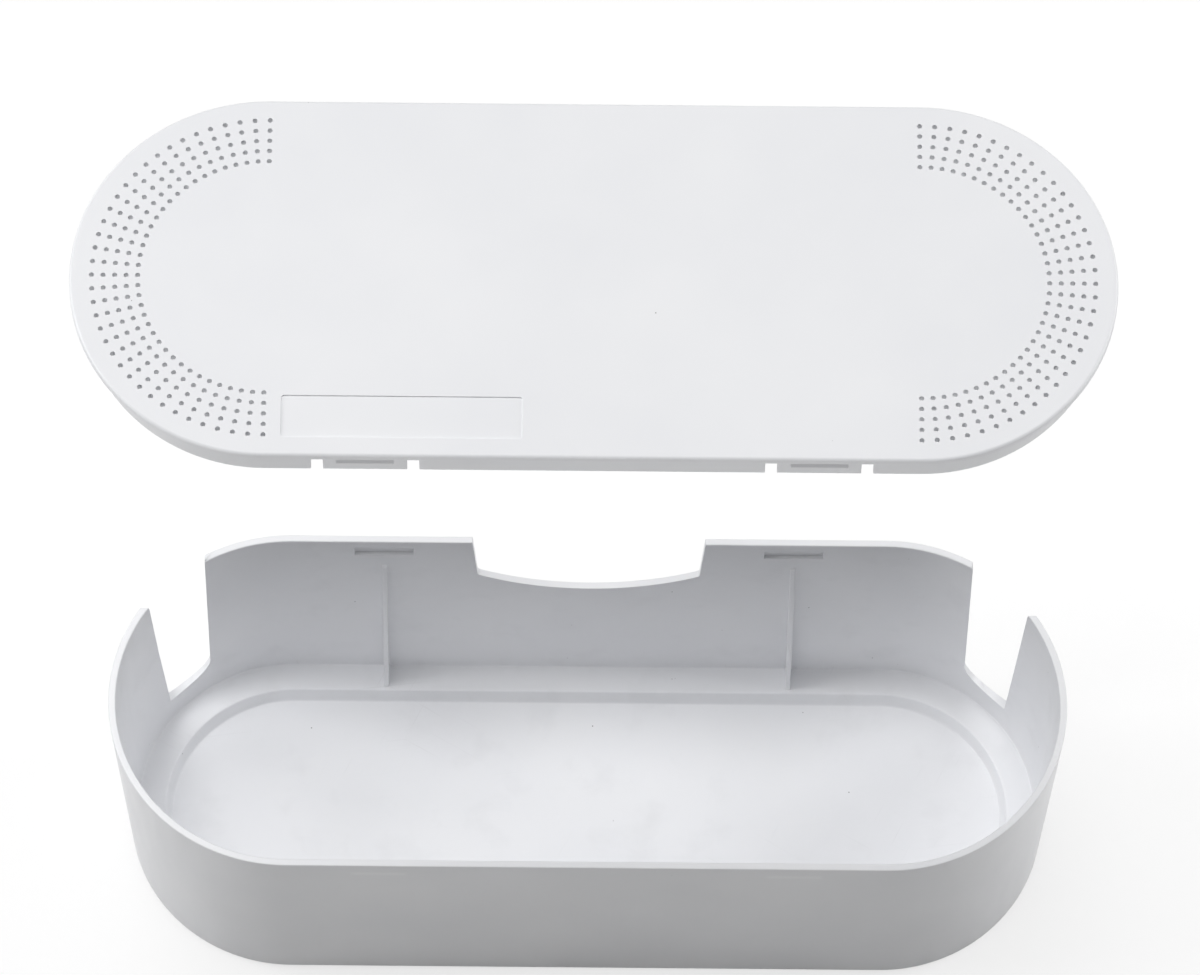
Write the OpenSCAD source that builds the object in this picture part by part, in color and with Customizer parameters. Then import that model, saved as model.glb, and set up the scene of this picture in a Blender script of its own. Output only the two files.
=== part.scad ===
// Cable management box: a long moulded tub with round ends that hides a power
// strip, and a lift-off lid that snaps into it. Cables leave through a notch in
// the rear wall and through one at each rear corner.
//
// Frame: the origin is on the ground under the middle of the tub, +X runs to the
// right along the box, +Y to the rear and +Z up. The lid is drawn lifted off, so
// sliding it down by lid_lift closes the box.

/* [Tub] */
// Overall length at the rim
box_length = 325; // [305:1:420]
// Overall depth at the rim, front to rear
box_depth = 122.5; // [108:0.5:140]
// Height of the tub from its underside to its rim
tub_height = 100; // [88:1:130]
// Thickness of the tub's wall, ledge and floor
wall = 2.5; // [2:0.1:3]
// Slope of the wall, in degrees from upright
draft = 2.66; // [1:0.1:4]
// Rounding of the rim's two edges
rim_round = 0.5; // [0.3:0.1:0.9]
// Rounding of the tub's lower outer edge
base_round = 1.5; // [0.5:0.1:2.5]

/* [Ledge and floor] */
// Height of the ledge's top above the tub's underside
ledge_height = 7.5; // [6:0.5:12]
// Width of the ledge, from the wall to the step
ledge_width = 9.85; // [7:0.25:14]
// How far the step between ledge and floor slopes inwards
step_run = 2; // [1:0.1:5]
// Radius of the inner corner between wall and ledge
ledge_fillet = 0.6; // [0.4:0.1:3]
// Radius of the step's two edges
step_round = 0.5; // [0.3:0.1:1.5]

/* [Cable notches] */
// Width of the rear notch at the rim
rear_notch_top = 79.4; // [60:0.2:84]
// Width of the rear notch at its foot
rear_notch_foot = 76; // [56:0.2:80]
// Radius of the rear notch's dished sill
rear_sill_radius = 78; // [60:1:200]
// Depth of the rear notch in its middle, below the rim
rear_notch_depth = 33.3; // [20:0.1:45]
// Radius of the rear notch's lower corners
rear_notch_round = 1.8; // [0.5:0.1:4]
// How far a corner notch reaches along the box, from the end of the rim
corner_notch_length = 31.5; // [22:0.5:40]
// How far a corner notch reaches forwards, from the rear of the rim
corner_notch_reach = 27.75; // [20:0.25:36]
// Height of a corner notch's scooped foot above the tub's underside
corner_notch_foot = 19; // [12:0.5:40]
// Radius of the scooped foot
corner_scoop_radius = 8.5; // [5:0.5:12]

/* [Ribs] */
// Thickness of a stiffening rib
rib_t = 1.7; // [1:0.1:2.5]
// Height of a rib's tip above the tub's underside
rib_top = 83.3; // [50:0.1:84]
// How far a rib's foot stands in from the wall on the ledge
rib_foot = 8.4; // [4:0.1:9.5]
// How far a rib stands in from the wall just below its chamfered tip
rib_tip = 0.8; // [0.3:0.1:1.5]

/* [Lid] */
// Thickness of the lid's plate
plate_t = 3; // [2.4:0.1:4]
// Rounding of the plate's upper edge
plate_round = 1.1; // [0.4:0.1:1.4]
// Depth of the skirt below the plate
skirt_depth = 14.1; // [12:0.1:15]
// Thickness of the skirt
skirt_t = 2; // [1.6:0.1:2.4]
// Rounding of the lower edges of the skirt, the tabs and the plate
lip_round = 0.4; // [0.1:0.1:0.6]
// Clearance between the skirt and the tub's wall
skirt_gap = 0.4; // [0.3:0.05:0.6]
// Clearance of the skirt beside each cable notch
notch_gap = 1; // [0.5:0.1:3]
// Height that the lid is lifted off the tub
lid_lift = 320; // [40:1:400]

/* [Vents] */
// Diameter of a vent hole
vent_d = 1.6; // [1:0.1:2.2]
// Rows of vent holes round each end
vent_rows = 5; // [1:1:7]
// Distance between the rows
vent_pitch = 3.57; // [3:0.01:4]
// Distance of the outer row from the lid's edge
vent_margin = 7.05; // [6.5:0.05:10]
// Angle between neighbouring holes, seen from the end's centre
vent_step = 5; // [5:1:15]

/* [Panel on the lid] */
// Length of the bare recessed panel
panel_l = 74.2; // [30:0.1:90]
// Width of the panel
panel_w = 14.1; // [8:0.1:20]
// Depth of the panel
panel_depth = 0.5; // [0.2:0.1:1]
// Distance of the panel from the lid's front edge
panel_edge = 6.45; // [6:0.05:12]
// Distance of the panel from the left end's centre
panel_start = 5.35; // [3:0.05:20]
// Radius of the panel's corners
panel_round = 0.8; // [0.3:0.1:3]

/* [Snap clips] */
// Distance of the clips and the ribs from the middle of the box
clip_x = 70; // [62:0.5:72]
// Width of a clip's tab
tab_w = 26; // [22:0.5:28]
// Thickness of the tab
tab_t = 1.8; // [1.4:0.1:2.2]
// Width of the slit on each side of the tab
slit = 3.7; // [2:0.1:4]
// Width of the snap bar
bar_w = 17.8; // [12:0.1:20]
// Distance from the plate down to the snap bar
bar_drop = 5; // [4:0.1:5.5]
// Height of the bar's upper slope
bar_upper = 1.6; // [1:0.1:2]
// Height of the bar's flat face
bar_flat = 1.5; // [0.8:0.1:2]
// Height of the bar's lower slope
bar_lower = 1.1; // [0.8:0.1:2]
// How far the bar stands out from the tab
bar_proud = 1.2; // [0.8:0.05:1.4]
// Clearance round the bar in its pocket
pocket_gap = 0.4; // [0.3:0.05:0.6]
// Width that the pocket has to spare at each end of the bar
pocket_side = 1.1; // [0.5:0.1:2]

/* [Feet] */
// Diameter of a rubber foot
foot_d = 12; // [8:0.5:16]
// Height of a foot
foot_h = 2; // [1.2:0.1:4]
// Depth of the seat that a foot sits in
foot_seat = 0.5; // [0.2:0.1:1]
// Rounding of a foot's lower edge
foot_round = 0.5; // [0.2:0.1:0.8]
// Distance of a foot from the tub's centre line, front to rear
foot_y = 25; // [16:0.5:28]

/* [Hidden] */
$fn = 96;
shell_colour = "#eeeef1";
rubber_colour = "#55565a";

// Segments of a rounded corner, and the overlap of pieces that are fused or cut
corner_steps = 6;
sink = 0.6;
beyond = 20;

spine = box_length - box_depth;
rim_r = box_depth / 2;
tub_z = foot_h - foot_seat;
lid_z = tub_z + tub_height + lid_lift;

// Distance of the tub's faces from its spine, at a height above its underside
function outer_r(z) = rim_r - (tub_height - z) * tan(draft);
function inner_r(z) = outer_r(z) - wall;
// Distance of the skirt's outer face from the spine, at a depth below the plate
function skirt_r(depth) = inner_r(tub_height - depth) - skirt_gap;

ledge_r = inner_r(ledge_height) - ledge_width;
floor_r = ledge_r - step_run;
step_slope = step_run / (ledge_height - wall);
channel_top = ledge_height - wall;
bar_h = bar_upper + bar_flat + bar_lower;
clip_gap = tab_w + 2 * slit;

// Points that round the corner at b, between its neighbours a and c
function unit(v) = v / norm(v);
function turn(a) = a > 180 ? a - 360 : a < -180 ? a + 360 : a;
function corner(a, b, c, r) =
    r == 0 ? [b] :
    let (u = unit(a - b))
    let (v = unit(c - b))
    let (half = acos(u * v) / 2)
    let (centre = b + unit(u + v) * r / sin(half))
    let (from = b + u * r / tan(half) - centre)
    let (to = b + v * r / tan(half) - centre)
    let (start = atan2(from.y, from.x))
    let (sweep = turn(atan2(to.y, to.x) - start))
    [for (i = [0:corner_steps])
        centre + r * [cos(start + sweep * i / corner_steps), sin(start + sweep * i / corner_steps)]];

// Outline from a list of [x, y, corner radius]
function point(p) = [p.x, p.y];
function rounded(path) =
    let (n = len(path))
    [for (i = [0:n - 1])
        each corner(point(path[(i + n - 1) % n]), point(path[i]), point(path[(i + 1) % n]), path[i][2])];

// Carries a profile round the box: x is the distance from the spine, y the height
module round_the_box() {
    for (side = [0, 1])
        mirror([0, side, 0])
            rotate([90, 0, 90])
                linear_extrude(spine, center = true)
                    children();
    for (end = [0, 1])
        mirror([end, 0, 0])
            translate([spine / 2, 0, 0])
                rotate([0, 0, -90])
                    rotate_extrude(angle = 180)
                        children();
}

// Extrudes a profile of distance from the spine and height, at one side of the box
module across(x_side, y_side, width) {
    mirror([0, y_side < 0 ? 1 : 0, 0])
        translate([x_side * clip_x, 0, 0])
            rotate([90, 0, 90])
                linear_extrude(width, center = true)
                    children();
}

// Section through the tub's wall, ledge and floor. Under the ledge is a channel
// that keeps the moulding one wall thick
module tub_section() {
    polygon(rounded([
        [0, 0, 0],
        [floor_r + wall - wall * step_slope, 0, 0],
        [floor_r + wall + (channel_top - wall) * step_slope, channel_top, 0],
        [inner_r(channel_top), channel_top, 0],
        [inner_r(0), 0, 0],
        [outer_r(0), 0, base_round],
        [outer_r(tub_height), tub_height, rim_round],
        [inner_r(tub_height), tub_height, rim_round],
        [inner_r(ledge_height), ledge_height, ledge_fillet],
        [ledge_r, ledge_height, step_round],
        [floor_r, wall, step_round],
        [0, wall, 0]
    ]));
}

// Rear notch: sides that close in slightly towards a dished sill
module rear_notch() {
    half_top = rear_notch_top / 2;
    half_foot = rear_notch_foot / 2;
    sill = tub_height - rear_notch_depth;
    centre = sill + rear_sill_radius;
    reach = asin(half_foot / rear_sill_radius);
    steps = 24;
    side_slope = (half_top - half_foot) / (tub_height - centre + rear_sill_radius * cos(reach));
    above = half_top + beyond * side_slope;
    sill_points = [for (i = [-steps:steps])
        let (a = reach * i / steps)
        [rear_sill_radius * sin(a), centre - rear_sill_radius * cos(a), abs(i) == steps ? rear_notch_round : 0]];
    translate([0, rim_r + beyond, 0])
        rotate([90, 0, 0])
            linear_extrude(rim_r)
                polygon(rounded(concat(
                    sill_points,
                    [[above, tub_height + beyond, 0], [-above, tub_height + beyond, 0]]
                )));
}

// Corner notch at the right: an upright rear edge that runs into a scooped foot,
// which rises at 45 degrees towards the front edge
module corner_notch() {
    edge = box_length / 2 - corner_notch_length;
    front = rim_r - corner_notch_reach;
    scoop_corner = corner_notch_foot + corner_scoop_radius - corner_scoop_radius / tan(22.5);
    far = corner_notch_length + beyond;
    translate([0, front + corner_notch_reach + beyond, 0])
        rotate([90, 0, 0])
            linear_extrude(corner_notch_reach + beyond)
                polygon(rounded([
                    [edge, tub_height + beyond, 0],
                    [edge, scoop_corner, corner_scoop_radius],
                    [edge + far, scoop_corner + far, 0],
                    [edge + far, tub_height + beyond, 0]
                ]));
}

// Blind pocket that the snap bar springs into
module pocket_section() {
    high = tub_height - bar_drop + pocket_gap;
    low = tub_height - bar_drop - bar_h - pocket_gap;
    reach = bar_proud - skirt_gap + pocket_gap;
    polygon([
        [inner_r(low) - sink, low],
        [inner_r(low) + reach, low],
        [inner_r(high) + reach, high],
        [inner_r(high) - sink, high]
    ]);
}

// Tapering rib that carries the clip's load down to the ledge
module rib_section() {
    foot = ledge_height - sink;
    polygon([
        [inner_r(ledge_height) - rib_foot, foot],
        [inner_r(ledge_height) - rib_foot, ledge_height],
        [inner_r(rib_top) - rib_tip, rib_top - rib_tip],
        [inner_r(rib_top), rib_top],
        [inner_r(rib_top) + sink, rib_top],
        [inner_r(foot) + sink, foot]
    ]);
}

module foot_place(x_side, y_side) {
    translate([x_side * spine / 2, y_side * foot_y, 0])
        children();
}

module tub() {
    color(shell_colour)
        translate([0, 0, tub_z])
            difference() {
                union() {
                    round_the_box()
                        tub_section();
                    for (x_side = [-1, 1], y_side = [-1, 1])
                        across(x_side, y_side, rib_t)
                            rib_section();
                }
                for (x_side = [-1, 1], y_side = [-1, 1]) {
                    across(x_side, y_side, bar_w + 2 * pocket_side)
                        pocket_section();
                    foot_place(x_side, y_side)
                        translate([0, 0, -beyond])
                            cylinder(h = beyond + foot_seat, d = foot_d);
                }
                rear_notch();
                for (end = [0, 1])
                    mirror([end, 0, 0])
                        corner_notch();
            }
}

// Plate of the lid inside its rounded edge, with the vent holes
module plate_outline() {
    core_r = skirt_r(0) - skirt_t;
    difference() {
        union() {
            square([spine, 2 * core_r], center = true);
            for (side = [-1, 1])
                translate([side * spine / 2, 0])
                    circle(core_r);
        }
        vent_holes();
    }
}

// Half rings of holes that follow the round ends
module vent_holes() {
    holes = floor(180 / vent_step);
    for (end = [0, 1])
        mirror([end, 0])
            translate([spine / 2, 0])
                for (row = [0:vent_rows - 1], i = [0:holes])
                    rotate((i - holes / 2) * vent_step)
                        translate([rim_r - vent_margin - row * vent_pitch, 0])
                            circle(d = vent_d, $fn = 24);
}

// Rounded edge of the plate, outside the skirt's inner face
module plate_edge_section() {
    polygon(rounded([
        [skirt_r(0) - skirt_t, 0, 0],
        [rim_r, 0, lip_round],
        [rim_r, plate_t, plate_round],
        [skirt_r(0) - skirt_t, plate_t, 0]
    ]));
}

module skirt_section() {
    polygon(rounded([
        [skirt_r(0) - skirt_t, 0, 0],
        [skirt_r(skirt_depth) - skirt_t, -skirt_depth, lip_round],
        [skirt_r(skirt_depth), -skirt_depth, lip_round],
        [skirt_r(0), 0, 0],
        [skirt_r(0), sink, 0],
        [skirt_r(0) - skirt_t, sink, 0]
    ]));
}

// Gaps in the skirt: for the four clips, the rear notch and the corner notches
module skirt_gaps() {
    tall = skirt_depth + beyond;
    edge = box_length / 2 - corner_notch_length - notch_gap;
    front = rim_r - corner_notch_reach - notch_gap;
    for (x_side = [-1, 1], y_side = [-1, 1])
        translate([x_side * clip_x, y_side * rim_r, -tall / 2])
            cube([clip_gap, rim_r, tall], center = true);
    translate([0, rim_r, -tall / 2])
        cube([rear_notch_top + 2 * notch_gap, rim_r, tall], center = true);
    for (end = [0, 1])
        mirror([end, 0, 0])
            translate([edge, front, -tall])
                cube([corner_notch_length + beyond, corner_notch_reach + beyond, tall]);
}

module panel() {
    left = panel_start - spine / 2;
    right = left + panel_l;
    low = panel_edge - rim_r;
    high = low + panel_w;
    translate([0, 0, plate_t - panel_depth])
        linear_extrude(beyond)
            polygon(rounded([
                [left, low, panel_round],
                [right, low, panel_round],
                [right, high, panel_round],
                [left, high, panel_round]
            ]));
}

module lid() {
    color(shell_colour)
        translate([0, 0, lid_z])
            difference() {
                union() {
                    linear_extrude(plate_t)
                        plate_outline();
                    round_the_box()
                        plate_edge_section();
                    difference() {
                        round_the_box()
                            skirt_section();
                        skirt_gaps();
                    }
                }
                panel();
            }
}

// Tab that hangs in line with the skirt, and the bar that snaps into the pocket
module tab_section() {
    polygon(rounded([
        [skirt_r(0) - tab_t, 0, 0],
        [skirt_r(0), 0, 0],
        [skirt_r(skirt_depth), -skirt_depth, lip_round],
        [skirt_r(skirt_depth) - tab_t, -skirt_depth, lip_round]
    ]));
}

module bar_section() {
    upper_end = bar_drop + bar_upper;
    flat_end = upper_end + bar_flat;
    lower_end = bar_drop + bar_h;
    polygon([
        [skirt_r(bar_drop) - sink, -bar_drop],
        [skirt_r(bar_drop), -bar_drop],
        [skirt_r(upper_end) + bar_proud, -upper_end],
        [skirt_r(flat_end) + bar_proud, -flat_end],
        [skirt_r(lower_end), -lower_end],
        [skirt_r(lower_end) - sink, -lower_end]
    ]);
}

module clip(x_side, y_side) {
    color(shell_colour)
        translate([0, 0, lid_z]) {
            across(x_side, y_side, tab_w)
                tab_section();
            across(x_side, y_side, bar_w)
                bar_section();
        }
}

// Rubber foot pressed into its seat
module foot(x_side, y_side) {
    foot_r = foot_d / 2;
    color(rubber_colour)
        foot_place(x_side, y_side)
            rotate_extrude()
                polygon(rounded([
                    [0, 0, 0],
                    [foot_r, 0, foot_round],
                    [foot_r, foot_h, 0],
                    [0, foot_h, 0]
                ]));
}

tub();
lid();
clip(-1, -1);  // clip_front_left
clip(1, -1);  // clip_front_right
clip(-1, 1);  // clip_rear_left
clip(1, 1);  // clip_rear_right
foot(-1, -1);  // foot_front_left
foot(1, -1);  // foot_front_right
foot(-1, 1);  // foot_rear_left
foot(1, 1);  // foot_rear_right
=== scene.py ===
import math

import bmesh
import bpy
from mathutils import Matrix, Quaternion, Vector


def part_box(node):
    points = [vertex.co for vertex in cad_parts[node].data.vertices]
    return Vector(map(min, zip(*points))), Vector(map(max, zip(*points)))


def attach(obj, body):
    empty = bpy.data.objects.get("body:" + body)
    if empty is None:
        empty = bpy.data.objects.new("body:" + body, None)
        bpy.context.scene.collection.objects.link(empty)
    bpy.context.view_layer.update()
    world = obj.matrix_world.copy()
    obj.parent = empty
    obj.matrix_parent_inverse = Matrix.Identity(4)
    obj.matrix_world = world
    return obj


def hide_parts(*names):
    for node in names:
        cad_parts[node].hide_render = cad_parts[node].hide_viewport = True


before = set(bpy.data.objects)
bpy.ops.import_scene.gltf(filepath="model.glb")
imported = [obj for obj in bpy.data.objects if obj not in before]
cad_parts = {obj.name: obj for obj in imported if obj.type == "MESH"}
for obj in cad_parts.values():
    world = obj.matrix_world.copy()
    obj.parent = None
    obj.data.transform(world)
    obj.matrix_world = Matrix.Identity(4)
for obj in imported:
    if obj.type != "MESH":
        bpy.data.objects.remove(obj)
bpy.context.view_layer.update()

# Tub: the long open shell that hides the power strip. It is one injection moulding in white ABS, with a
# drafted wall round two half-round ends, a ledge inside its foot and a recessed floor. The wall thickness
# stays even because a channel runs under the ledge.
mm = 0.001
tub_low, tub_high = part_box("tub")
lid_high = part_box("lid")[1]
rim_radius = lid_high.y
spine_end = lid_high.x - rim_radius
underside = tub_low.z
rim = tub_high.z

wall = 2.5 * mm
draft = math.radians(2.66)
rim_round = 0.5 * mm
base_round = 1.5 * mm
ledge = underside + 7.5 * mm
ledge_width = 9.85 * mm
step_run = 2 * mm
ledge_fillet = 0.6 * mm
step_round = 0.5 * mm
floor_top = underside + wall
end_steps = 60
close = 0.01 * mm
loose = 0.1 * mm
sharp_bend = math.radians(40)


def outer(height):
    """Distance of the wall's outer face from the spine, at a height."""
    return rim_radius - (rim - height) * math.tan(draft)


def inner(height):
    return outer(height) - wall


def spine_distance(place):
    return math.hypot(max(abs(place.x) - spine_end, 0), place.y)


def start_line(name, place):
    """A new piece in edit mode, with one vertex at a place."""
    bpy.ops.object.select_all(action="DESELECT")
    bpy.ops.mesh.primitive_plane_add(size=wall, location=(0, 0, 0))
    piece = bpy.context.object
    piece.name = piece.data.name = name
    bpy.ops.object.mode_set(mode="EDIT")
    bpy.ops.mesh.select_all(action="SELECT")
    bpy.ops.mesh.merge(type="CENTER")
    bpy.ops.transform.translate(value=place)
    return piece


def draw_line(places):
    for here, there in zip(places, places[1:]):
        bpy.ops.mesh.extrude_vertices_move(TRANSFORM_OT_translate={"value": there - here})
    bpy.ops.mesh.select_all(action="SELECT")


def carry_round(name, profile):
    """Carries a profile of (distance from the spine, height) round the box and closes it top and bottom."""
    places = [Vector((spine_end, distance, height)) for distance, height in profile]
    piece = start_line(name, places[0])
    draw_line(places)
    for side in (-1, 1):
        bpy.ops.mesh.extrude_edges_move(TRANSFORM_OT_translate={"value": (side * 2 * spine_end, 0, 0)})
        bpy.ops.mesh.spin(steps=end_steps, angle=-math.pi, center=(side * spine_end, 0, 0), axis=(0, 0, 1))
    bpy.ops.mesh.select_all(action="SELECT")
    bpy.ops.mesh.remove_doubles(threshold=close)
    bpy.ops.mesh.fill_holes(sides=0)
    bpy.ops.mesh.select_all(action="SELECT")
    bpy.ops.mesh.normals_make_consistent(inside=False)
    bpy.ops.object.mode_set(mode="OBJECT")
    return piece


def take(piece):
    """Makes a piece the only one that is selected."""
    bpy.ops.object.select_all(action="DESELECT")
    bpy.context.view_layer.objects.active = piece
    piece.select_set(True)


def round_edges(piece, wanted, radius, steps):
    """Rounds the edges that pass a test of their two ends and the angle between their faces."""
    take(piece)
    bpy.ops.object.mode_set(mode="EDIT")
    bpy.ops.mesh.select_mode(type="EDGE")
    bpy.ops.mesh.select_all(action="DESELECT")
    shape = bmesh.from_edit_mesh(piece.data)
    for edge in shape.edges:
        a, b = edge.verts
        edge.select = edge.is_manifold and wanted(a.co, b.co, edge.calc_face_angle())
    shape.select_flush_mode()
    bmesh.update_edit_mesh(piece.data)
    bpy.ops.mesh.bevel(offset=radius, segments=steps, affect="EDGES", clamp_overlap=False)
    bpy.ops.mesh.select_mode(type="VERT")
    bpy.ops.object.mode_set(mode="OBJECT")


def round_loop(piece, distance, height, radius, steps=4):
    """Rounds the edge that runs round the box at a distance from the spine and a height."""
    def on_loop(a, b, angle):
        return all(abs(spine_distance(p) - distance) < loose and abs(p.z - height) < loose for p in (a, b))

    round_edges(piece, on_loop, radius, steps)


def arc(centre, radius, start, end, steps):
    """Points on an arc, as (across, height), from one angle in degrees to another."""
    turns = [math.radians(start + (end - start) * i / steps) for i in range(steps + 1)]
    return [(centre[0] + radius * math.cos(a), centre[1] + radius * math.sin(a)) for a in turns]


def block(name, outline, thickness):
    """A solid with an outline of places, made thick along a direction."""
    places = [Vector(place) for place in outline]
    piece = start_line(name, places[0])
    draw_line(places)
    bpy.ops.mesh.edge_face_add()
    bpy.ops.mesh.extrude_region_move(TRANSFORM_OT_translate={"value": thickness})
    bpy.ops.mesh.select_all(action="SELECT")
    bpy.ops.mesh.normals_make_consistent(inside=False)
    bpy.ops.object.mode_set(mode="OBJECT")
    return piece


def combine(piece, tool, operation, solver="EXACT"):
    """Cuts a tool out of a piece, or joins it to it, and removes the tool."""
    take(piece)
    joint = piece.modifiers.new(operation.lower(), "BOOLEAN")
    joint.operation = operation
    joint.object = tool
    joint.solver = solver
    bpy.ops.object.modifier_apply(modifier=joint.name)
    bpy.data.objects.remove(tool)


def cut(piece, tool):
    combine(piece, tool, "DIFFERENCE")


def join(piece, tool):
    combine(piece, tool, "UNION")


ledge_inner = inner(ledge) - ledge_width
floor_edge = ledge_inner - step_run
step_slope = step_run / (ledge - floor_top)
channel_top = ledge - wall
channel_foot = floor_edge + wall - wall * step_slope
channel_inner = floor_edge + wall + (channel_top - floor_top) * step_slope

tub = carry_round("tub_shell", [
    (channel_foot, underside),
    (channel_inner, channel_top),
    (inner(channel_top), channel_top),
    (inner(underside), underside),
    (outer(underside), underside),
    (outer(rim), rim),
    (inner(rim), rim),
    (inner(ledge), ledge),
    (ledge_inner, ledge),
    (floor_edge, floor_top),
])
round_loop(tub, outer(rim), rim, rim_round)
round_loop(tub, inner(rim), rim, rim_round)
round_loop(tub, outer(underside), underside, base_round)
round_loop(tub, inner(ledge), ledge, ledge_fillet)
round_loop(tub, ledge_inner, ledge, step_round, steps=3)
round_loop(tub, floor_edge, floor_top, step_round, steps=3)

# Ribs and snap pockets: four upright ribs stiffen the long walls under the lid's clips, and a blind pocket
# above each one takes the clip's snap bar. They are moulded in one with the tub.
clip_x = 70 * mm
rib_thickness = 1.7 * mm
rib_top = underside + 83.3 * mm
rib_tip = 0.8 * mm
rib_foot = 8.4 * mm
rib_crest = 0.3 * mm
sink = 0.6 * mm
bar_drop = 5 * mm
bar_height = 4.2 * mm
bar_width = 17.8 * mm
bar_proud = 1.2 * mm
skirt_clearance = 0.4 * mm
pocket_clearance = 0.4 * mm
pocket_play = 2.2 * mm
pocket_lip = 0.3 * mm


def across(side_x, side_y, section, width, name):
    """A block across one of the four clip places, from a section of (distance from the spine, height)."""
    left = side_x * clip_x - width / 2
    return block(name, [(left, side_y * d, z) for d, z in section], (width, 0, 0))


pocket_width = bar_width + pocket_play
pocket_high = rim - bar_drop + pocket_clearance
pocket_low = rim - bar_drop - bar_height - pocket_clearance
pocket_reach = bar_proud - skirt_clearance + pocket_clearance
rib_section = [
    (inner(ledge) - rib_foot, ledge - sink),
    (inner(ledge) - rib_foot, ledge),
    (inner(rib_top) - rib_tip, rib_top - rib_tip),
    (inner(rib_top) + sink, rib_top + sink),
    (inner(ledge - sink) + 2 * sink, ledge - sink),
]
pocket_section = [
    (inner(pocket_low) - sink, pocket_low),
    (inner(pocket_low) + pocket_reach, pocket_low),
    (inner(pocket_high) + pocket_reach, pocket_high),
    (inner(pocket_high) - sink, pocket_high),
]
clip_places = [(x, y) for x in (-1, 1) for y in (-1, 1)]


def on_crest(a, b, angle):
    """True for the two long edges of a rib that stand clear of the wall."""
    return abs(a.z - b.z) > rib_foot and min(a.z, b.z) > ledge - close and abs(a.x - b.x) < close


def on_pocket_mouth(a, b, angle):
    """True for the edges where a pocket opens in the inside wall."""
    at_mouth = all(
        abs(abs(p.x) - clip_x) < pocket_width / 2 + close
        and pocket_low - close < p.z < pocket_high + close
        and abs(spine_distance(p) - inner(p.z)) < close
        for p in (a, b)
    )
    return at_mouth and angle > sharp_bend


for side_x, side_y in clip_places:
    rib = across(side_x, side_y, rib_section, rib_thickness, "rib")
    round_edges(rib, on_crest, rib_crest, steps=2)
    join(tub, rib)
    cut(tub, across(side_x, side_y, pocket_section, pocket_width, "pocket"))
round_edges(tub, on_pocket_mouth, pocket_lip, steps=2)

# Cable notches: a wide notch with a dished sill in the rear wall, and one at each rear corner whose upright
# rear edge runs into a scooped foot. They are cut through the wall as the mould's shut-offs leave them.
beyond = 20 * mm
rear_half_top = 39.7 * mm
rear_half_foot = 38 * mm
sill_radius = 78 * mm
sill_low = rim - 33.3 * mm
sill_corner = 1.8 * mm
sill_steps = 32
corner_length = 31.5 * mm
corner_reach = 27.75 * mm
scoop_radius = 8.5 * mm
scoop_low = underside + 19 * mm
scoop_rise = 45
scoop_steps = 16
cut_edge = 0.3 * mm

sill_turn = math.degrees(math.asin(rear_half_foot / sill_radius))
sill = arc((0, sill_low + sill_radius), sill_radius, -90 - sill_turn, -90 + sill_turn, sill_steps)
sill_end = sill[0][1]
side_slope = (rear_half_top - rear_half_foot) / (rim - sill_end)
notch_half = rear_half_top + beyond * side_slope
rear_outline = sill + [(notch_half, rim + beyond), (-notch_half, rim + beyond)]
rear_notch = block("rear_notch", [(x, 0, z) for x, z in rear_outline], (0, rim_radius + beyond, 0))
sill_bend = math.radians(90 - sill_turn) - math.atan(side_slope)


def on_sill_corner(a, b, angle):
    """True for the two edges of the notch's tool where its sill meets its sides."""
    return abs(a.y - b.y) > wall and max(abs(a.z - sill_end), abs(b.z - sill_end)) < close


round_edges(rear_notch, on_sill_corner, sill_corner * math.tan(sill_bend / 2), steps=5)
cut(tub, rear_notch)

notch_edge = spine_end + rim_radius - corner_length
notch_front = rim_radius - corner_reach
scoop_middle = (notch_edge + scoop_radius, scoop_low + scoop_radius)
scoop = arc(scoop_middle, scoop_radius, 180, 270 + scoop_rise, scoop_steps)
far = corner_length + beyond
corner_outline = scoop + [
    (scoop[-1][0] + far, scoop[-1][1] + far),
    (scoop[-1][0] + far, rim + far),
    (notch_edge, rim + far),
]
for side in (-1, 1):
    corner_notch = block("corner_notch", [(side * x, notch_front, z) for x, z in corner_outline],
                         (0, corner_reach + beyond, 0))
    cut(tub, corner_notch)


def on_notch(a, b, angle):
    """True for the sharp edges that a notch leaves on the wall."""
    lower = min(a.z, b.z)
    if angle < sharp_bend or min(a.y, b.y) < notch_front - close or lower < scoop_low - close:
        return False
    rear = max(abs(a.x), abs(b.x)) < rear_half_top + close and lower > sill_low - close
    corner = min(abs(a.x), abs(b.x)) > notch_edge - close
    across_wall = abs(spine_distance(a) - spine_distance(b)) > wall / 2
    return (rear or corner) and not (across_wall and lower < rim - close)


round_edges(tub, on_notch, cut_edge, steps=2)

# Foot seats and finish of the tub: four shallow round seats under the floor, then the satin white of a
# polished mould. Inside, the floor and walls carry the fine scuffs and specks that plugs and cords leave.
foot_low, foot_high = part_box("foot_front_left")
foot_radius = (foot_high.y - foot_low.y) / 2
seat_play = 0.15 * mm
disc_sides = 64
white_tint = (0.845, 0.85, 0.868, 1)
shade_tint = (0.815, 0.822, 0.845, 1)
cloud_scale = 16
satin_low = 0.29
satin_high = 0.41
streak_scale = 270
streak_stretch = (9, 1, 9)
grain_scale = 1500
grain_depth = 0.02 * mm
ripple_scale = 90
ripple_depth = 0.06 * mm
speck_tint = (0.16, 0.155, 0.15, 1)
speck_spacing = 9 * mm
speck_size = 0.28 * mm
clean_specks = 0.2
used_specks = 0.5
scuff_tint = (0.66, 0.665, 0.68, 1)
rubbed_scale = 13
rubbed_height = 10 * mm
scratch_scale = 1000
scratch_runs = ((8, 50), (-31, 38), (64, 30))
smudge_scale = 70
# Painted highlight: a lighter tint on the outside wall behind each snap pocket, where a faint light line
# runs.
painted_highlight_tint = (0.9, 0.905, 0.922, 1)
highlight_strip_middle = Vector((clip_x, outer(pocket_high), (pocket_low + pocket_high) / 2))
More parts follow.
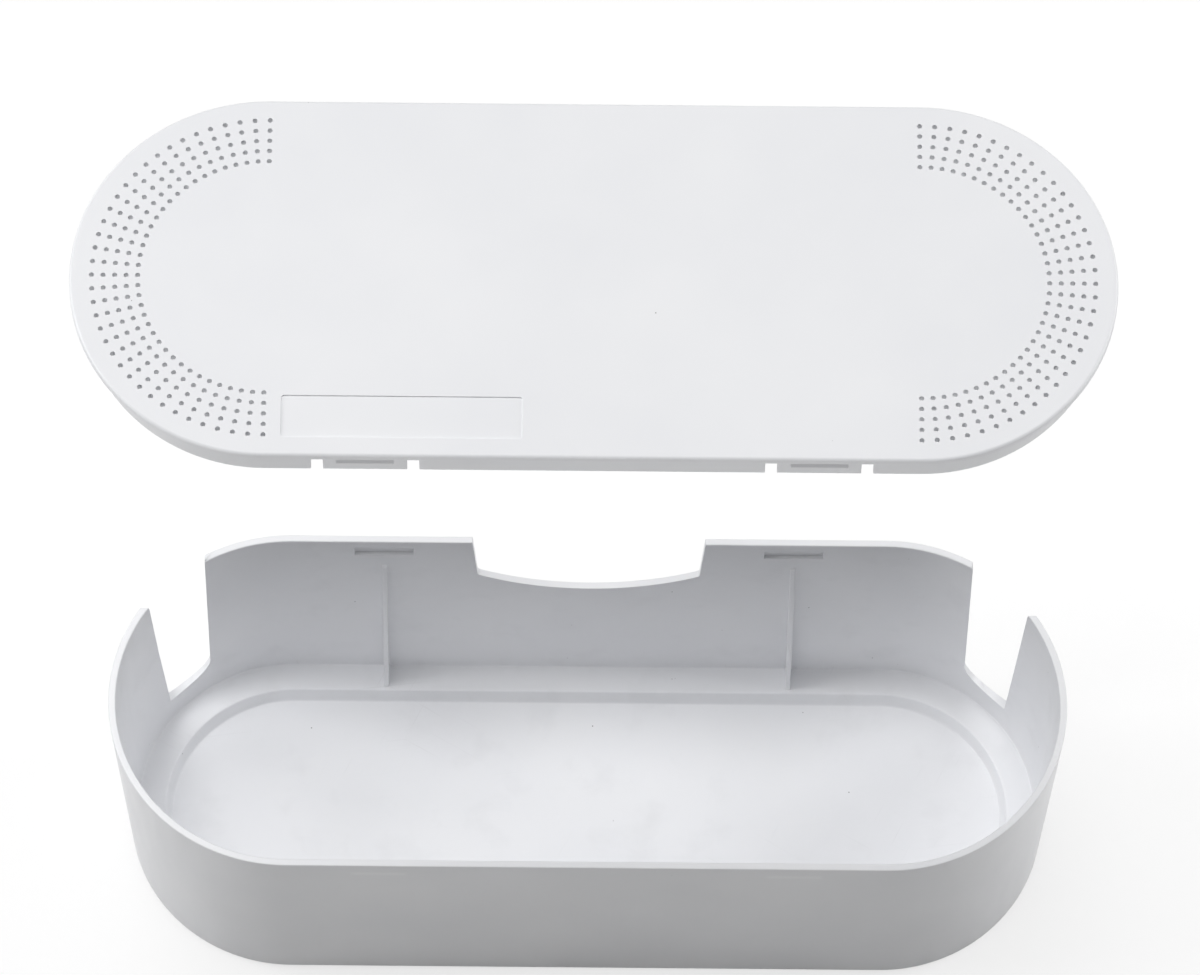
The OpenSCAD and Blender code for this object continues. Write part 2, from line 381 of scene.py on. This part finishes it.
highlight_strip_half = Vector((bar_width / 2, wall, 0.9 * mm))
highlight_strip_edge = 1.1 * mm


def add_node(material, kind, inputs=(), **settings):
    node = material.node_tree.nodes.new(kind)
    for key, value in settings.items():
        setattr(node, key, value)
    for key, value in dict(inputs).items():
        node.inputs[key].default_value = value
    return node


def wire(material, *links):
    for source, target in links:
        material.node_tree.links.new(source, target)


def remap(material, source, low, high, to_low, to_high):
    """Stretches one range of a grey value onto another, clamped."""
    stretch = add_node(material, "ShaderNodeMapRange", {
        "From Min": low, "From Max": high, "To Min": to_low, "To Max": to_high,
    })
    wire(material, (source, stretch.inputs["Value"]))
    return stretch.outputs["Result"]


def blend_colour(material, share, first, second):
    """Mixes two colours, each a colour or a node's output, by a share."""
    mix = add_node(material, "ShaderNodeMix", data_type="RGBA")
    wire(material, (share, mix.inputs["Factor"]))
    for socket, colour in ((mix.inputs["A"], first), (mix.inputs["B"], second)):
        if isinstance(colour, bpy.types.NodeSocket):
            wire(material, (colour, socket))
        else:
            socket.default_value = colour
    return mix.outputs["Result"]


def times(material, first, second):
    product = add_node(material, "ShaderNodeMath", operation="MULTIPLY")
    wire(material, (first, product.inputs[0]), (second, product.inputs[1]))
    return product.outputs["Value"]


def noise(material, coordinates, scale, detail=2.0, stretch=(1, 1, 1), turn=0.0):
    """Grey clouds, drawn out along their own axes and turned about the vertical."""
    mapping = add_node(material, "ShaderNodeMapping", {
        "Scale": stretch, "Rotation": (0, 0, math.radians(turn)),
    }, vector_type="TEXTURE")
    texture = add_node(material, "ShaderNodeTexNoise", {"Scale": scale, "Detail": detail})
    wire(material, (coordinates, mapping.inputs["Vector"]),
         (mapping.outputs["Vector"], texture.inputs["Vector"]))
    return texture.outputs["Fac"]


def specks(material, coordinates, spacing, size, share):
    """A grey value that is 1 in small round specks, one in some of the cells of a scatter."""
    scatter = add_node(material, "ShaderNodeTexVoronoi", {"Scale": 1 / spacing})
    wire(material, (coordinates, scatter.inputs["Vector"]))
    dot = remap(material, scatter.outputs["Distance"], 0.5 * size / spacing, size / spacing, 1, 0)
    split = add_node(material, "ShaderNodeSeparateColor")
    chosen = add_node(material, "ShaderNodeMath", {1: share}, operation="LESS_THAN")
    wire(material, (scatter.outputs["Color"], split.inputs["Color"]),
         (split.outputs["Red"], chosen.inputs[0]))
    return times(material, dot, chosen.outputs["Value"])


def painted_highlight_strip(material, coordinates):
    """A grey value that is 1 in the strip behind each snap pocket: the mask of a painted highlight on the
    outside wall.
    """
    value = coordinates
    for operation, operand in (
        ("ABSOLUTE", None), ("SUBTRACT", highlight_strip_middle), ("ABSOLUTE", None), ("SUBTRACT", highlight_strip_half),
    ):
        inputs = {} if operand is None else {1: operand}
        step = add_node(material, "ShaderNodeVectorMath", inputs, operation=operation)
        wire(material, (value, step.inputs[0]))
        value = step.outputs["Vector"]
    split = add_node(material, "ShaderNodeSeparateXYZ")
    furthest = add_node(material, "ShaderNodeMath", operation="MAXIMUM")
    wire(material, (value, split.inputs["Vector"]),
         (split.outputs["X"], furthest.inputs[0]), (split.outputs["Z"], furthest.inputs[1]))
    return remap(material, furthest.outputs["Value"], -highlight_strip_edge, highlight_strip_edge, 1, 0)


def bump(material, height, depth, strength, normal=None):
    raised = add_node(material, "ShaderNodeBump", {"Distance": depth, "Strength": strength})
    wire(material, (height, raised.inputs["Height"]))
    if normal is not None:
        wire(material, (normal, raised.inputs["Normal"]))
    return raised.outputs["Normal"]


def white_abs(name, scuffed):
    """Satin white ABS: faint clouds in the white, a fine grain, slow ripples, scuffs where it is worn, and
    otherwise a painted highlight strip behind each snap pocket.
    """
    material = bpy.data.materials.new(name)
    material.use_nodes = True
    shader = material.node_tree.nodes["Principled BSDF"]
    place = add_node(material, "ShaderNodeTexCoord").outputs["Object"]
    clouds = noise(material, place, cloud_scale, 3)
    colour = blend_colour(material, remap(material, clouds, 0.35, 0.65, 0, 1), white_tint, shade_tint)
    streaks = noise(material, place, streak_scale, 4, stretch=streak_stretch)
    gloss = remap(material, streaks, 0.3, 0.7, satin_low, satin_high)
    dirt = specks(material, place, speck_spacing, speck_size, used_specks if scuffed else clean_specks)
    colour = blend_colour(material, dirt, colour, speck_tint)
    grain = noise(material, place, grain_scale, 3)
    ripple = noise(material, place, ripple_scale, 1)
    normal = bump(material, ripple, ripple_depth, 0.25)
    normal = bump(material, grain, grain_depth, 0.3, normal)
    if scuffed:
        height = add_node(material, "ShaderNodeSeparateXYZ")
        wire(material, (place, height.inputs["Vector"]))
        low_down = remap(material, height.outputs["Z"], ledge, ledge + rubbed_height, 1, 0.15)
        rubbed = remap(material, noise(material, place, rubbed_scale, 2), 0.46, 0.68, 0, 1)
        rubbed = times(material, rubbed, low_down)
        for turn, length in scratch_runs:
            scratches = noise(material, place, scratch_scale, 3, stretch=(length, 1, 4), turn=turn)
            scratches = remap(material, scratches, 0.66, 0.76, 0, 0.35)
            colour = blend_colour(material, times(material, scratches, rubbed), colour, scuff_tint)
        smudges = remap(material, noise(material, place, smudge_scale, 5), 0.55, 0.75, 0, 0.2)
        colour = blend_colour(material, smudges, colour, scuff_tint)
    else:
        # Painted highlight: the outside wall is tinted lighter in a strip behind each snap pocket.
        colour = blend_colour(material, painted_highlight_strip(material, place), colour, painted_highlight_tint)
    wire(material, (colour, shader.inputs["Base Color"]), (gloss, shader.inputs["Roughness"]),
         (normal, shader.inputs["Normal"]))
    return material


def even_shading(piece, sharp=35):
    """Smooth shading that leaves sharp edges sharp and flat faces flat."""
    take(piece)
    bpy.ops.object.shade_smooth_by_angle(angle=math.radians(sharp))
    weights = piece.modifiers.new("weights", "WEIGHTED_NORMAL")
    weights.keep_sharp = True
    bpy.ops.object.modifier_apply(modifier=weights.name)


def place_name(side_x, side_y):
    return ("rear" if side_y > 0 else "front") + ("_right" if side_x > 0 else "_left")


def disc(low, high, radius):
    """An upright disc that fills a box's height."""
    bpy.ops.object.select_all(action="DESELECT")
    bpy.ops.mesh.primitive_cylinder_add(
        vertices=disc_sides, radius=radius, depth=high.z - low.z, location=(low + high) / 2,
    )
    return bpy.context.object


for side_x, side_y in clip_places:
    seat_low, seat_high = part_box("foot_" + place_name(side_x, side_y))
    cut(tub, disc(seat_low, seat_high, foot_radius + seat_play))

even_shading(tub)
tub.data.materials.append(white_abs("tub_white_outside", False))
tub.data.materials.append(white_abs("tub_white_inside", True))
for face in tub.data.polygons:
    place = face.center
    face.material_index = int(floor_top - close < place.z < rim - rim_round
                              and spine_distance(place) < inner(place.z) + close)
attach(tub, "tub")
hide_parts("tub")

# Lid: one moulding in the same white ABS, a flat plate with a rounded edge over a drafted skirt that drops
# inside the tub's rim. The skirt stops beside each clip tab and each cable notch.
plate_top = lid_high.z
plate_low = plate_top - 3 * mm
plate_round = 1.1 * mm
lip_round = 0.4 * mm
skirt_depth = 14.1 * mm
skirt_thickness = 2 * mm
slit = 3.7 * mm
tab_width = 26 * mm
notch_gap = 1 * mm


def skirt(depth):
    """Distance of the skirt's outer face from the spine, at a depth below the plate."""
    return inner(rim - depth) - skirt_clearance


lid = carry_round("lid_shell", [
    (skirt(0) - skirt_thickness, plate_low),
    (skirt(skirt_depth) - skirt_thickness, plate_low - skirt_depth),
    (skirt(skirt_depth), plate_low - skirt_depth),
    (skirt(0), plate_low),
    (rim_radius, plate_low),
    (rim_radius, plate_top),
])
round_loop(lid, rim_radius, plate_top, plate_round, steps=5)
round_loop(lid, rim_radius, plate_low, lip_round, steps=3)
round_loop(lid, skirt(skirt_depth), plate_low - skirt_depth, lip_round, steps=3)
round_loop(lid, skirt(skirt_depth) - skirt_thickness, plate_low - skirt_depth, lip_round, steps=3)


def skirt_gap(name, left, right, front):
    """A tool that cuts the skirt away between two places along the box, behind or in front of a line."""
    below = plate_low - 2 * skirt_depth
    corners = [(left, plate_low), (right, plate_low), (right, below), (left, below)]
    return block(name, [(x, front, z) for x, z in corners], (0, math.copysign(rim_radius, front), 0))


clip_gap = tab_width / 2 + slit
for side_x, side_y in clip_places:
    middle = side_x * clip_x
    cut(lid, skirt_gap("clip_gap", middle - clip_gap, middle + clip_gap, side_y * rim_radius / 2))
rear_gap = rear_half_top + notch_gap
cut(lid, skirt_gap("rear_gap", -rear_gap, rear_gap, rim_radius / 2))
for side in (-1, 1):
    near = side * (notch_edge - notch_gap)
    cut(lid, skirt_gap("corner_gap", near, near + side * 2 * corner_length, notch_front - notch_gap))


def on_skirt_end(a, b, angle):
    """True for the sharp edges where the skirt stops."""
    return (angle > sharp_bend and max(a.z, b.z) < plate_low - close
            and abs(a.x - b.x) < close and max(abs(a.x), abs(b.x)) < spine_end)


round_edges(lid, on_skirt_end, cut_edge, steps=2)

# Panel and vents: a shallow bare recess near the front edge, and five rows of small holes that follow each
# round end. The core pins leave each hole slightly flared at the top.
panel_left = 5.35 * mm - spine_end
panel_front = 6.45 * mm - rim_radius
panel_length = 74.2 * mm
panel_width = 14.1 * mm
panel_depth = 0.5 * mm
panel_round = 0.8 * mm
panel_lip = 0.22 * mm
vent_radius = 0.8 * mm
vent_flare = 0.26 * mm
vent_dish = 0.08 * mm
vent_rows = 5
vent_pitch = 3.57 * mm
vent_margin = 7.05 * mm
vent_step = 5
vent_sides = 16

panel_right = panel_left + panel_length
panel_rear = panel_front + panel_width
panel_outline = []
for corner_x, corner_y, start in (
    (panel_left, panel_front, 180), (panel_right, panel_front, 270),
    (panel_right, panel_rear, 0), (panel_left, panel_rear, 90),
):
    inwards_x = math.copysign(panel_round, (panel_left + panel_right) / 2 - corner_x)
    inwards_y = math.copysign(panel_round, (panel_front + panel_rear) / 2 - corner_y)
    panel_outline += arc((corner_x + inwards_x, corner_y + inwards_y), panel_round, start, start + 90, 5)
panel_floor = plate_top - panel_depth
cut(lid, block("panel", [(x, y, panel_floor) for x, y in panel_outline], (0, 0, beyond)))


def on_panel_lip(a, b, angle):
    """True for the upper edges of the panel's sides."""
    inside = all(
        panel_left - close < p.x < panel_right + close and panel_front - close < p.y < panel_rear + close
        for p in (a, b)
    )
    return inside and angle > sharp_bend and min(a.z, b.z) > plate_top - close


round_edges(lid, on_panel_lip, panel_lip, steps=2)

flare_low = plate_top - vent_dish
pin_low = plate_low - wall
bpy.ops.object.select_all(action="DESELECT")
bpy.ops.mesh.primitive_cylinder_add(
    vertices=vent_sides, radius=vent_radius, depth=flare_low - pin_low,
    location=(0, 0, (flare_low + pin_low) / 2),
)
pin = bpy.context.object
pin.name = "vent_pins"
bpy.ops.object.transform_apply()
bpy.ops.object.mode_set(mode="EDIT")
bpy.ops.mesh.select_all(action="DESELECT")
shape = bmesh.from_edit_mesh(pin.data)
for face in shape.faces:
    face.select = face.calc_center_median().z > flare_low - close
bmesh.update_edit_mesh(pin.data)
flare_scale = 1 + vent_flare / vent_radius
bpy.ops.mesh.extrude_region_move(TRANSFORM_OT_translate={"value": (0, 0, vent_dish)})
bpy.ops.transform.resize(value=(flare_scale, flare_scale, 1))
bpy.ops.mesh.extrude_region_move(TRANSFORM_OT_translate={"value": (0, 0, wall)})
bpy.ops.object.mode_set(mode="OBJECT")

vent_places = []
for side in (-1, 1):
    for row in range(vent_rows):
        reach = rim_radius - vent_margin - row * vent_pitch
        for angle in range(90, -90 - vent_step, -vent_step):
            turn = math.radians(angle)
            vent_places.append((side * (spine_end + reach * math.cos(turn)), reach * math.sin(turn), 0))
take(pin)
for place in vent_places:
    copy = pin.copy()
    copy.data = pin.data.copy()
    copy.location = place
    bpy.context.collection.objects.link(copy)
    copy.select_set(True)
pin.select_set(False)
bpy.context.view_layer.objects.active = copy
bpy.ops.object.join()
pins = bpy.context.object
bpy.data.objects.remove(pin)
combine(lid, pins, "DIFFERENCE", "MANIFOLD")

even_shading(lid)
lid_white = white_abs("lid_white", False)
lid.data.materials.clear()
lid.data.materials.append(lid_white)
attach(lid, "lid")
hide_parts("lid")

# Clips: four springy tabs of the lid's own ABS that hang in line with the skirt, free between two slits.
# Each carries a snap bar with sloped faces that springs into its pocket as the lid is pressed home.
tab_thickness = 1.8 * mm
bar_upper = 1.6 * mm
bar_flat = 1.5 * mm
bar_round = 0.25 * mm
bar_bend = math.radians(20)
tab_section = [
    (skirt(0) - tab_thickness, plate_low),
    (skirt(0), plate_low),
    (skirt(skirt_depth), plate_low - skirt_depth),
    (skirt(skirt_depth) - tab_thickness, plate_low - skirt_depth),
]
bar_shoulder = bar_drop + bar_upper
bar_chin = bar_shoulder + bar_flat
bar_low = bar_drop + bar_height
bar_section = [
    (skirt(bar_drop) - sink, plate_low - bar_drop),
    (skirt(bar_drop), plate_low - bar_drop),
    (skirt(bar_shoulder) + bar_proud, plate_low - bar_shoulder),
    (skirt(bar_chin) + bar_proud, plate_low - bar_chin),
    (skirt(bar_low), plate_low - bar_low),
    (skirt(bar_low) - sink, plate_low - bar_low),
]


def on_tab_rim(a, b, angle):
    """True for every edge of a tab but those where it meets the plate."""
    return max(a.z, b.z) < plate_low - close and angle > sharp_bend


def on_bar_face(a, b, angle):
    """True for the edges round the face of a snap bar, clear of its tab."""
    return min(abs(a.y), abs(b.y)) > skirt(bar_drop) + bar_proud / 2 and angle > bar_bend


for side_x, side_y in clip_places:
    place = place_name(side_x, side_y)
    clip = across(side_x, side_y, tab_section, tab_width, "clip_tab_" + place)
    round_edges(clip, on_tab_rim, lip_round, steps=3)
    bar = across(side_x, side_y, bar_section, bar_width, "bar")
    round_edges(bar, on_bar_face, bar_round, steps=2)
    join(clip, bar)
    even_shading(clip)
    clip.data.materials.append(lid_white)
    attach(clip, "clip_" + place)
    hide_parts("clip_" + place)

# Feet: four grey rubber discs pressed into shallow seats under the floor. Each has a rounded lower edge, a
# slightly dished sole and the dull skin of moulded rubber.
foot_round = 0.5 * mm
dish_width = 1.6 * mm
dish_depth = 0.3 * mm
rubber_tint = (0.1, 0.1, 0.105, 1)
rubber_dust = (0.17, 0.168, 0.165, 1)
rubber_dull = (0.7, 0.9)
dust_scale = 700
pebble_scale = 2600
pebble_depth = 0.05 * mm


def grey_rubber(name):
    """Dull grey rubber with a pebbled skin and a little dust in it."""
    material = bpy.data.materials.new(name)
    material.use_nodes = True
    shader = material.node_tree.nodes["Principled BSDF"]
    place = add_node(material, "ShaderNodeTexCoord").outputs["Object"]
    dust = remap(material, noise(material, place, dust_scale, 5), 0.45, 0.75, 0, 1)
    colour = blend_colour(material, dust, rubber_tint, rubber_dust)
    dull = remap(material, dust, 0, 1, *rubber_dull)
    pebbles = noise(material, place, pebble_scale, 2)
    normal = bump(material, pebbles, pebble_depth, 0.6)
    wire(material, (colour, shader.inputs["Base Color"]), (dull, shader.inputs["Roughness"]),
         (normal, shader.inputs["Normal"]))
    return material


rubber = grey_rubber("foot_rubber")
for side_x, side_y in clip_places:
    node = "foot_" + place_name(side_x, side_y)
    low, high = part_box(node)
    foot = disc(low, high, foot_radius)
    foot.name = foot.data.name = "rubber_" + node
    bpy.ops.object.transform_apply()
    round_edges(foot, lambda a, b, angle: max(a.z, b.z) < low.z + close, foot_round, steps=4)
    bpy.ops.object.mode_set(mode="EDIT")
    bpy.ops.mesh.select_mode(type="FACE")
    bpy.ops.mesh.select_all(action="DESELECT")
    shape = bmesh.from_edit_mesh(foot.data)
    for face in shape.faces:
        face.select = face.calc_center_median().z < low.z + close
    bmesh.update_edit_mesh(foot.data)
    bpy.ops.mesh.inset(thickness=dish_width)
    bpy.ops.mesh.inset(thickness=dish_depth * 2, depth=-dish_depth)
    bpy.ops.mesh.select_mode(type="VERT")
    bpy.ops.object.mode_set(mode="OBJECT")
    even_shading(foot, sharp=50)
    foot.data.materials.append(rubber)
    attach(foot, "tub")
    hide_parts(node)

# Table: a wide white sheet that the box stands on. It looks white and keeps a faint shadow of the box.
table_size = 8.0
table_white = (0.98, 0.98, 0.98, 1)
table_bounce = (0.66, 0.66, 0.66, 1)
table_glow = 0.7


def seen_plainly(material):
    """A grey value that is 1 for what the camera, a gloss or clear parts show, and 0 in bounced light."""
    ray = add_node(material, "ShaderNodeLightPath")
    value = ray.outputs["Is Camera Ray"]
    for kind in ("Is Glossy Ray", "Is Transmission Ray"):
        either = add_node(material, "ShaderNodeMath", operation="MAXIMUM")
        wire(material, (value, either.inputs[0]), (ray.outputs[kind], either.inputs[1]))
        value = either.outputs["Value"]
    return value


bpy.ops.object.select_all(action="DESELECT")
bpy.ops.mesh.primitive_plane_add(size=table_size, location=(0, 0, 0))
table = bpy.context.object
table.name = "table"
sheet = bpy.data.materials.new("table_sheet")
sheet.use_nodes = True
sheet.node_tree.nodes.clear()
seen = seen_plainly(sheet)
tint = blend_colour(sheet, seen, table_bounce, table_white)
dull = add_node(sheet, "ShaderNodeBsdfDiffuse")
glow = add_node(sheet, "ShaderNodeEmission")
glow_share = remap(sheet, seen, 0, 1, 0, table_glow)
surface = add_node(sheet, "ShaderNodeMixShader")
result = add_node(sheet, "ShaderNodeOutputMaterial")
wire(sheet, (tint, dull.inputs["Color"]), (glow_share, surface.inputs["Fac"]),
     (dull.outputs["BSDF"], surface.inputs[1]), (glow.outputs["Emission"], surface.inputs[2]),
     (surface.outputs["Shader"], result.inputs["Surface"]))
table.data.materials.append(sheet)

# Studio light: a white room whose light comes mostly from overhead, a little from behind and from the left,
# so that upright walls stay greyer than level faces. A soft lamp at each side draws the round ends, and a
# weak strip in front of the lid lights its skirt.
room_white = (1, 1, 1, 1)
room_plain = 1.0
room_power = 26.0
room_bright = 6.62
room_peak = Vector((-0.15, 0.1, 1)).normalized()
room_stretch = (1, 0.66, 1)
lid_front = Vector((0, -rim_radius, plate_low))
lamps = (
    ("left_lamp", Vector((-1.25, 0.1, 1.0)), Vector(), 8.8, (0.7, 0.7)),
    ("right_lamp", Vector((1.3, 0.3, 0.8)), Vector(), 8.8, (0.8, 0.8)),
    ("lid_strip", lid_front + Vector((0, -0.19, -0.045)), lid_front, 0.145, (0.42, 0.06)),
)

room = bpy.data.worlds.new("white_room")
bpy.context.scene.world = room
room.use_nodes = True
sky = room.node_tree.nodes["Background"]
sky.inputs["Color"].default_value = room_white
towards = add_node(room, "ShaderNodeTexCoord")
stretched = add_node(room, "ShaderNodeVectorMath", {1: room_stretch}, operation="MULTIPLY")
even = add_node(room, "ShaderNodeVectorMath", operation="NORMALIZE")
along_peak = add_node(room, "ShaderNodeVectorMath", {1: room_peak}, operation="DOT_PRODUCT")
upward = add_node(room, "ShaderNodeMath", {1: 0.0}, operation="MAXIMUM")
peaked = add_node(room, "ShaderNodeMath", {1: room_power}, operation="POWER")
bright = add_node(room, "ShaderNodeMath", {1: room_bright}, operation="MULTIPLY")
strength = add_node(room, "ShaderNodeMix", {"B": room_plain}, data_type="FLOAT")
wire(room, (towards.outputs["Generated"], stretched.inputs[0]),
     (stretched.outputs["Vector"], even.inputs[0]),
     (even.outputs["Vector"], along_peak.inputs[0]),
     (along_peak.outputs["Value"], upward.inputs[0]),
     (upward.outputs["Value"], peaked.inputs[0]),
     (peaked.outputs["Value"], bright.inputs[0]),
     (bright.outputs["Value"], strength.inputs["A"]),
     (seen_plainly(room), strength.inputs["Factor"]),
     (strength.outputs["Result"], sky.inputs["Strength"]))

for name, spot, aim, power, size in lamps:
    bpy.ops.object.light_add(type="AREA", location=spot)
    lamp = bpy.context.object
    lamp.name = name
    lamp.data.shape = "RECTANGLE"
    lamp.data.size, lamp.data.size_y = size
    lamp.data.energy = power
    lamp.rotation_euler = (aim - spot).to_track_quat("-Z", "Y").to_euler()

# Camera: a long lens that looks down on the open box from the front.
camera_place = Vector((-7.9, -1371.0, 3199.7)) * mm
camera_pitch = math.radians(64.902)
camera_yaw = math.radians(0.454)
camera_roll = math.radians(0.932)
camera_lens = 300
camera_sensor = 36

bpy.ops.object.camera_add(location=camera_place)
camera = bpy.context.object
look = Vector((
    math.sin(camera_yaw) * math.cos(camera_pitch),
    math.cos(camera_yaw) * math.cos(camera_pitch),
    -math.sin(camera_pitch),
))
level = look.to_track_quat("-Z", "Y")
camera.rotation_euler = (level @ Quaternion((0, 0, 1), camera_roll)).to_euler()
camera.data.lens = camera_lens
camera.data.sensor_width = camera_sensor
bpy.context.scene.camera = camera
bpy.context.scene.view_settings.view_transform = "Standard"
